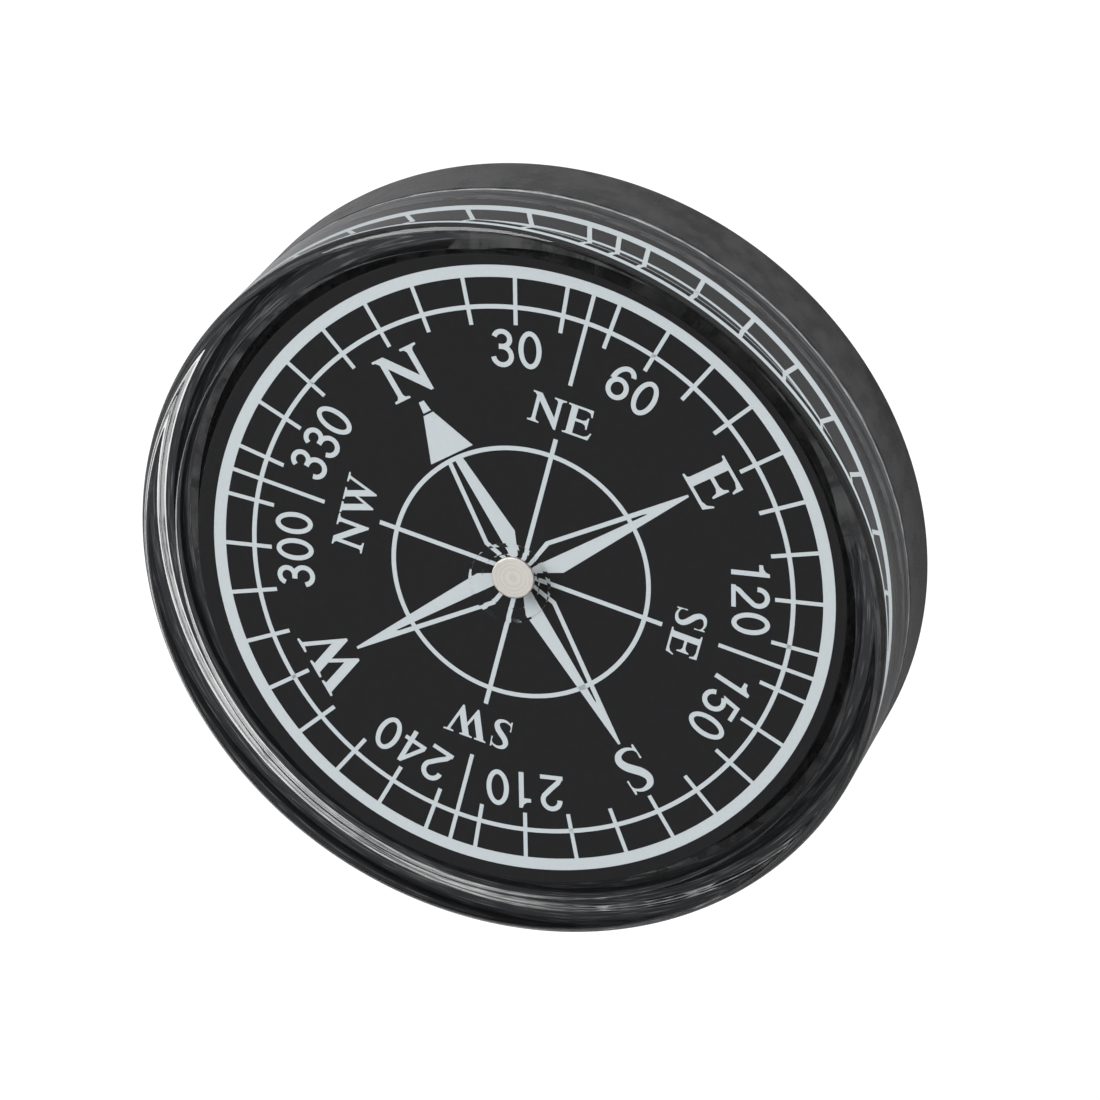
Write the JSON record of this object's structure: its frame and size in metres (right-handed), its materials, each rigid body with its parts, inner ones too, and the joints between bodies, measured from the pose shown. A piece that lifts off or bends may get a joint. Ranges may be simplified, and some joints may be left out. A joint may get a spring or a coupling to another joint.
{
  "type": "liquid-filled capsule compass",
  "caption": "Round liquid-filled compass capsule: clear flat-windowed front shell on a black rear shell, with a black degree card on a point pivot inside.",
  "frame": {"origin": "centre of the flat back, on the surface that the capsule lies on", "axes": "+Z out of the window; +X towards the side where the card leans down at rest; the card's north mark at rest is 50 degrees round from +X towards +Y"},
  "size_m": [0.045, 0.045, 0.0098],
  "materials": {
    "clear_acrylic": "polished clear acrylic",
    "black_shell": "gloss black moulding",
    "set_adhesive": "set adhesive, whitish and uneven",
    "seal_rubber": "matt black rubber",
    "brass": "turned brass",
    "needle_steel": "ground and polished steel",
    "diaphragm_rubber": "thin black rubber",
    "plug_nylon": "black nylon",
    "sapphire": "polished sapphire",
    "nickel": "turned and nickel plated, with fine lathe marks",
    "card_black": "satin black with light grey print",
    "carrier_plastic": "black moulded plastic",
    "magnet_steel": "dark sintered magnet",
    "washer_steel": "spring steel"
  },
  "bodies": {
    "case": {"front_shell": "clear_acrylic", "rear_shell": "black_shell", "seam_bead": "set_adhesive", "seal_ring": "seal_rubber", "pivot_bush": "brass", "pivot_needle": "needle_steel", "expansion_diaphragm": "diaphragm_rubber", "diaphragm_ring": "brass", "fill_plug": "plug_nylon", "plug_seal": "seal_rubber"},
    "jewel": {"pivot_jewel": "sapphire"},
    "setting": {"jewel_setting": "brass"},
    "card": {"jewel_cap": "nickel", "card_disc": "card_black", "magnet_carrier": "carrier_plastic", "magnet_east": "magnet_steel", "magnet_west": "magnet_steel", "cap_washer": "washer_steel", "balance_weight": "brass"}
  },
  "joints": [
    {"name": "card_lean", "type": "hinge", "parent": "case", "child": "jewel", "pos_m": [0, 0, 0.00691], "axis": [0, 1, 0], "range_deg": [-14.6, 0.3]},
    {"name": "card_sway", "type": "hinge", "parent": "jewel", "child": "setting", "pos_m": [0, 0, 0.00691], "axis": [0.9919, 0, -0.1271], "range_deg": [-2.5, 2.5]},
    {"name": "card_heading", "type": "hinge", "parent": "setting", "child": "card", "pos_m": [0, 0, 0.00691], "axis": [0.1271, 0, 0.9919], "continuous": true}
  ]
}
